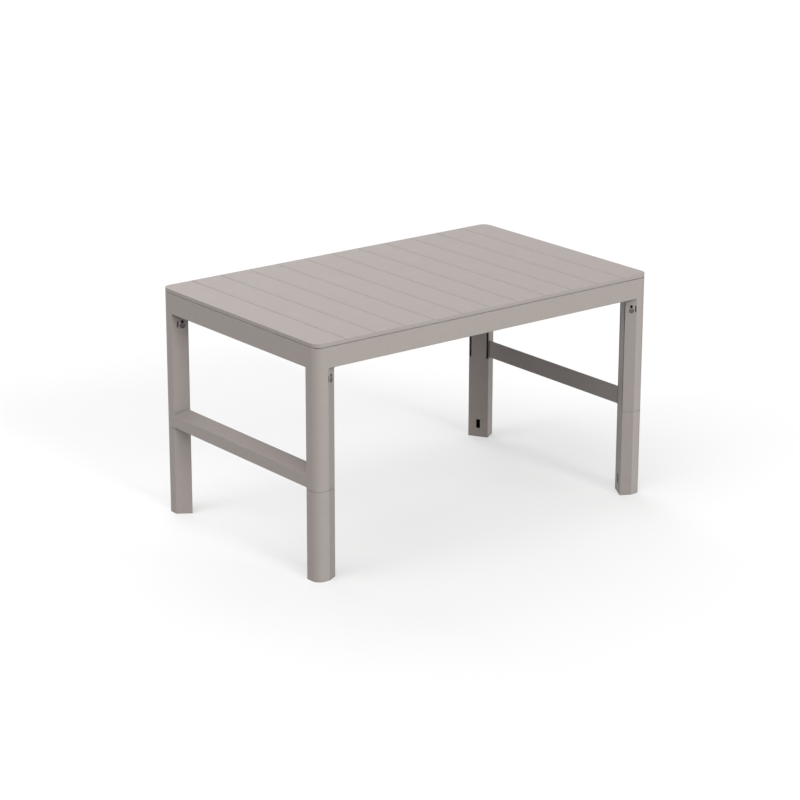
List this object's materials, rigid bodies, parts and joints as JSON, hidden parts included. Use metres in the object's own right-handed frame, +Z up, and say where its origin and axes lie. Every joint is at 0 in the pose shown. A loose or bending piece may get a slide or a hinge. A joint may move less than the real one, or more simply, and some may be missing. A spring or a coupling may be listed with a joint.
{
  "type": "convertible garden table",
  "caption": "Plank-look plastic garden table on corner posts, with sliding leg extensions held by turning locks for a high and a low height.",
  "frame": {"origin": "on the floor under the middle of the board", "axes": "+X along the length to the right, +Y across to the rear, +Z up"},
  "size_m": [1.16, 0.714, 0.6545],
  "materials": {
    "board_plastic": "fine moulded grain, warm light grey",
    "frame_plastic": "fine moulded grain, warm light grey",
    "extension_plastic": "fine moulded grain, warm light grey",
    "lock_plastic": "smooth, warm light grey",
    "cap_rubber": "smooth, darker grey",
    "screw_steel": "plated"
  },
  "bodies": {
    "frame": {"tabletop": "board_plastic", "apron_front": "frame_plastic", "apron_rear": "frame_plastic", "apron_left": "frame_plastic", "apron_right": "frame_plastic", "leg_post_front_left": "frame_plastic", "leg_post_front_right": "frame_plastic", "leg_post_rear_left": "frame_plastic", "leg_post_rear_right": "frame_plastic", "stretcher_left": "frame_plastic", "stretcher_right": "frame_plastic", "cross_rail_left": "frame_plastic", "cross_rail_right": "frame_plastic", "board_screws": "screw_steel", "stretcher_screws": "screw_steel", "rail_screws": "screw_steel"},
    "extension_front_left": {"leg_extension_front_left": "extension_plastic", "foot_cap_front_left": "cap_rubber"},
    "extension_front_right": {"leg_extension_front_right": "extension_plastic", "foot_cap_front_right": "cap_rubber"},
    "extension_rear_left": {"leg_extension_rear_left": "extension_plastic", "foot_cap_rear_left": "cap_rubber"},
    "extension_rear_right": {"leg_extension_rear_right": "extension_plastic", "foot_cap_rear_right": "cap_rubber"},
    "lock_front_left_long": {"lock_front_left_long": "lock_plastic"},
    "lock_front_left_short": {"lock_front_left_short": "lock_plastic"},
    "lock_front_right_long": {"lock_front_right_long": "lock_plastic"},
    "lock_front_right_short": {"lock_front_right_short": "lock_plastic"},
    "lock_rear_left_long": {"lock_rear_left_long": "lock_plastic"},
    "lock_rear_left_short": {"lock_rear_left_short": "lock_plastic"},
    "lock_rear_right_long": {"lock_rear_right_long": "lock_plastic"},
    "lock_rear_right_short": {"lock_rear_right_short": "lock_plastic"}
  },
  "joints": [
    {"name": "extension_slide_front_left", "type": "slide", "parent": "frame", "child": "extension_front_left", "axis": [0, 0, -1], "range_m": [0, 0.34]},
    {"name": "extension_slide_front_right", "type": "slide", "parent": "frame", "child": "extension_front_right", "axis": [0, 0, -1], "range_m": [0, 0.34]},
    {"name": "extension_slide_rear_left", "type": "slide", "parent": "frame", "child": "extension_rear_left", "axis": [0, 0, -1], "range_m": [0, 0.34]},
    {"name": "extension_slide_rear_right", "type": "slide", "parent": "frame", "child": "extension_rear_right", "axis": [0, 0, -1], "range_m": [0, 0.34]},
    {"name": "lock_front_left_long_turn", "type": "hinge", "parent": "frame", "child": "lock_front_left_long", "pos_m": [-0.52614, -0.35007, 0.55075], "axis": [-0.4472, 0.8944, 0], "range_deg": [0, 90]},
    {"name": "lock_front_left_short_turn", "type": "hinge", "parent": "frame", "child": "lock_front_left_short", "pos_m": [-0.55511, -0.29566, 0.55075], "axis": [-0.5369, 0.8437, 0], "range_deg": [0, 90]},
    {"name": "lock_front_right_long_turn", "type": "hinge", "parent": "frame", "child": "lock_front_right_long", "pos_m": [0.52614, -0.35007, 0.55075], "axis": [-0.4472, -0.8944, 0], "range_deg": [0, 90]},
    {"name": "lock_front_right_short_turn", "type": "hinge", "parent": "frame", "child": "lock_front_right_short", "pos_m": [0.55511, -0.29566, 0.55075], "axis": [-0.5369, -0.8437, 0], "range_deg": [0, 90]},
    {"name": "lock_rear_left_long_turn", "type": "hinge", "parent": "frame", "child": "lock_rear_left_long", "pos_m": [-0.52614, 0.35007, 0.55075], "axis": [0.4472, 0.8944, 0], "range_deg": [0, 90]},
    {"name": "lock_rear_left_short_turn", "type": "hinge", "parent": "frame", "child": "lock_rear_left_short", "pos_m": [-0.55511, 0.29566, 0.55075], "axis": [0.5369, 0.8437, 0], "range_deg": [0, 90]},
    {"name": "lock_rear_right_long_turn", "type": "hinge", "parent": "frame", "child": "lock_rear_right_long", "pos_m": [0.52614, 0.35007, 0.55075], "axis": [0.4472, -0.8944, 0], "range_deg": [0, 90]},
    {"name": "lock_rear_right_short_turn", "type": "hinge", "parent": "frame", "child": "lock_rear_right_short", "pos_m": [0.55511, 0.29566, 0.55075], "axis": [0.5369, -0.8437, 0], "range_deg": [0, 90]}
  ]
}
